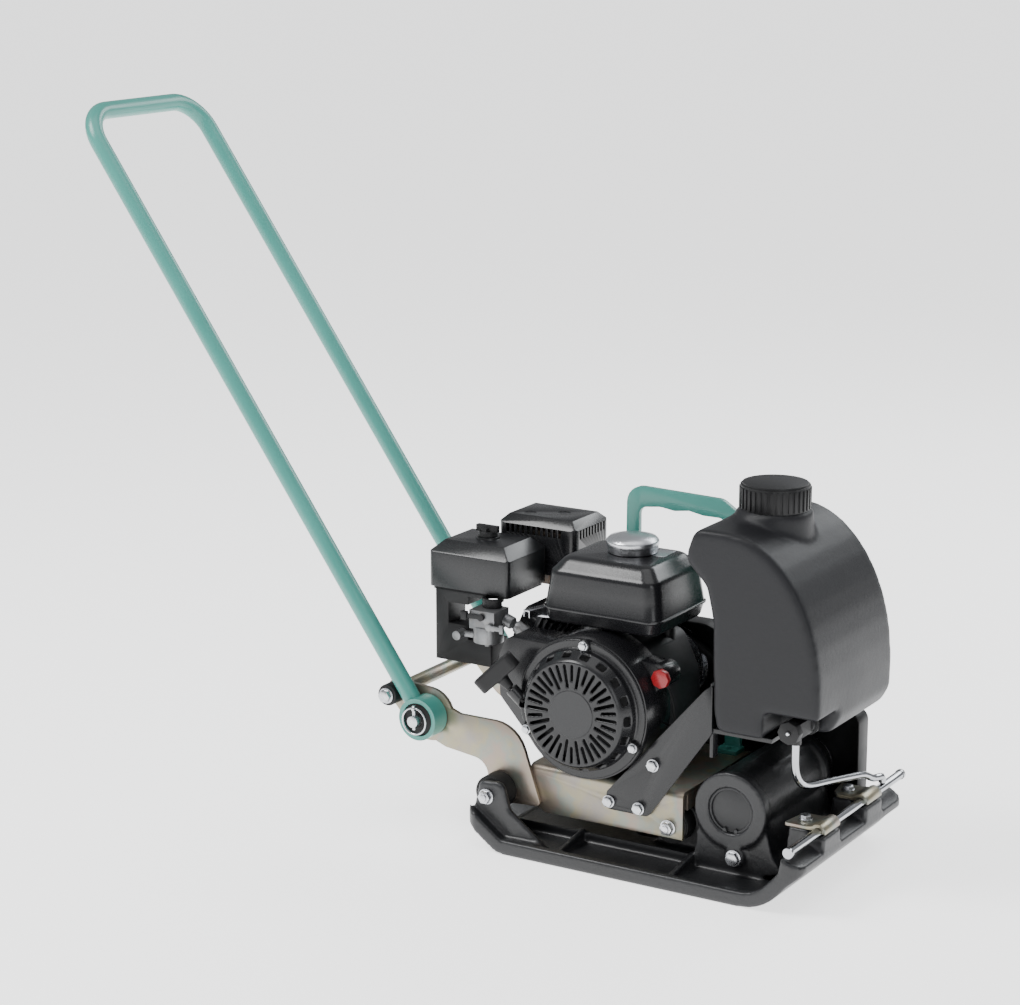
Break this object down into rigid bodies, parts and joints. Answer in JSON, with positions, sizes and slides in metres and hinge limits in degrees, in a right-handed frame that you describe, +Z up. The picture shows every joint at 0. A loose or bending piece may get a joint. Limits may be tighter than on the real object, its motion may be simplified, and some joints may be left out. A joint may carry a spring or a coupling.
{
  "type": "plate compactor",
  "caption": "Forward plate compactor with folding tube handle, petrol engine on a rubber-mounted bed, belt-driven exciter, water tank and front sprinkler bar.",
  "frame": {"origin": "on the ground, at the centre of the base plate's footprint", "axes": "+X is the direction of travel, +Y is the belt side (operator's right), +Z is up"},
  "size_m": [1.1683, 0.354, 0.9664],
  "materials": {
    "cast_black": "satin black paint over casting",
    "rubber": "matt",
    "bright_steel": "bright zinc plate",
    "zinc_plate": "yellow-tinted zinc plate",
    "teal_paint": "semi-gloss powder coat",
    "black_alloy": "semi-gloss black paint",
    "black_paint": "semi-gloss black paint",
    "black_plastic": "fine grain",
    "gloss_plastic": "semi-gloss",
    "bare_alloy": "as cast",
    "rope": "braided",
    "silver_cap": "satin chrome plate",
    "filter_paper": "pleated paper and foam",
    "dark_steel": "heat-darkened steel",
    "red_plastic": "semi-gloss",
    "tank_plastic": "rotomoulded, fine grain"
  },
  "bodies": {
    "machine": {"base_plate": "cast_black", "rubber_mounts": "rubber", "mount_nuts": "bright_steel", "engine_bed": "zinc_plate", "arm_left": "zinc_plate", "arm_right": "zinc_plate", "cross_tube": "zinc_plate", "bump_stops": "rubber", "hex_bolts": "bright_steel", "pivot_pins": "bright_steel", "crankcase": "black_alloy", "crankcase_cover": "black_alloy", "cylinder_head": "black_alloy", "rocker_cover": "black_paint", "spark_plug": "bright_steel", "plug_cap": "black_plastic", "piston": "bare_alloy", "crank_bearings": "bright_steel", "fan_cover": "black_paint", "recoil_housing": "black_paint", "fuel_tank": "black_paint", "filter_case": "black_plastic", "filter_cover": "gloss_plastic", "filter_element": "filter_paper", "carburettor": "bare_alloy", "control_bracket": "bright_steel", "muffler": "dark_steel", "muffler_guard": "black_paint", "switch_lead": "rubber", "drive_belt": "rubber", "belt_guard": "black_plastic", "exciter_bearings": "bright_steel", "exciter_covers": "black_alloy", "lifting_handle": "teal_paint", "tank_brackets": "black_paint", "water_tank": "tank_plastic", "tap_body": "black_plastic", "feed_pipe": "bright_steel", "sprinkler_bar": "bright_steel", "bar_clamps": "zinc_plate"},
    "handle": {"handle_frame": "teal_paint", "handle_bushes": "rubber"},
    "left_linch_ring": {"linch_ring_left": "bright_steel"},
    "right_linch_ring": {"linch_ring_right": "bright_steel"},
    "crank": {"crankshaft": "bright_steel", "flywheel": "bare_alloy", "clutch_drum": "bright_steel"},
    "eccentric": {"eccentric_shaft": "bright_steel", "exciter_pulley": "bright_steel"},
    "starter_grip": {"starter_grip": "black_plastic", "starter_rope": "rope"},
    "starter_reel": {"starter_reel": "black_plastic"},
    "fuel_cap": {"fuel_cap": "silver_cap"},
    "water_cap": {"water_cap": "black_plastic"},
    "tap_knob": {"tap_knob": "black_plastic"},
    "throttle_lever": {"throttle_lever": "bright_steel"},
    "choke_lever": {"choke_lever": "black_plastic"},
    "fuel_lever": {"fuel_lever": "bare_alloy"},
    "stop_switch": {"stop_switch": "red_plastic"},
    "filter_knob": {"filter_knob": "black_plastic"}
  },
  "joints": [
    {"name": "handle_fold", "type": "hinge", "parent": "machine", "child": "handle", "pos_m": [-0.341, 0, 0.158], "axis": [0, 1, 0], "range_deg": [0, 33]},
    {"name": "left_linch_swing", "type": "hinge", "parent": "machine", "child": "left_linch_ring", "pos_m": [-0.341, -0.1475, 0.1765], "axis": [-1, 0, 0], "range_deg": [-5, 120]},
    {"name": "right_linch_swing", "type": "hinge", "parent": "machine", "child": "right_linch_ring", "pos_m": [-0.341, 0.1475, 0.1765], "axis": [1, 0, 0], "range_deg": [-5, 120]},
    {"name": "crank_spin", "type": "hinge", "parent": "machine", "child": "crank", "pos_m": [-0.0925, 0, 0.21], "axis": [0, 1, 0], "continuous": true},
    {"name": "eccentric_spin", "type": "hinge", "parent": "machine", "child": "eccentric", "pos_m": [0.118, 0, 0.1], "axis": [0, 1, 0], "continuous": true},
    {"name": "starter_pull", "type": "slide", "parent": "machine", "child": "starter_grip", "axis": [-0.6549, -0.22, 0.7229], "range_m": [0, 0.45], "stiffness_N_per_m": 4, "springref_m": -1.2},
    {"name": "starter_reel_turn", "type": "hinge", "parent": "machine", "child": "starter_reel", "pos_m": [-0.0925, 0, 0.21], "axis": [0, 1, 0], "range_deg": [0, 870]},
    {"name": "fuel_cap_lift", "type": "slide", "parent": "machine", "child": "fuel_cap", "axis": [0, 0, 1], "range_m": [0, 0.05]},
    {"name": "water_cap_lift", "type": "slide", "parent": "machine", "child": "water_cap", "axis": [0, 0, 1], "range_m": [0, 0.06]},
    {"name": "tap_turn", "type": "hinge", "parent": "machine", "child": "tap_knob", "pos_m": [0.204, -0.098, 0.224], "axis": [0, -1, 0], "range_deg": [0, 90]},
    {"name": "throttle_swing", "type": "hinge", "parent": "machine", "child": "throttle_lever", "pos_m": [-0.1975, -0.03, 0.306], "axis": [0, 0, 1], "range_deg": [-25, 30]},
    {"name": "choke_swing", "type": "hinge", "parent": "machine", "child": "choke_lever", "pos_m": [-0.2765, -0.0765, 0.298], "axis": [0, -1, 0], "range_deg": [0, 45]},
    {"name": "fuel_lever_swing", "type": "hinge", "parent": "machine", "child": "fuel_lever", "pos_m": [-0.2625, -0.0765, 0.286], "axis": [0, 1, 0], "range_deg": [0, 60]},
    {"name": "stop_switch_turn", "type": "hinge", "parent": "machine", "child": "stop_switch", "pos_m": [0.0105, -0.088, 0.261], "axis": [0, -1, 0], "range_deg": [0, 45]},
    {"name": "filter_knob_spin", "type": "hinge", "parent": "machine", "child": "filter_knob", "pos_m": [-0.316, 0.004, 0.387], "axis": [0, 0, 1], "continuous": true}
  ],
  "couplings": [
    {"joint": "eccentric_spin", "follows": "crank_spin", "ratio": 1.5625},
    {"joint": "starter_reel_turn", "follows": "starter_pull", "rad_per_m": 33.333}
  ]
}
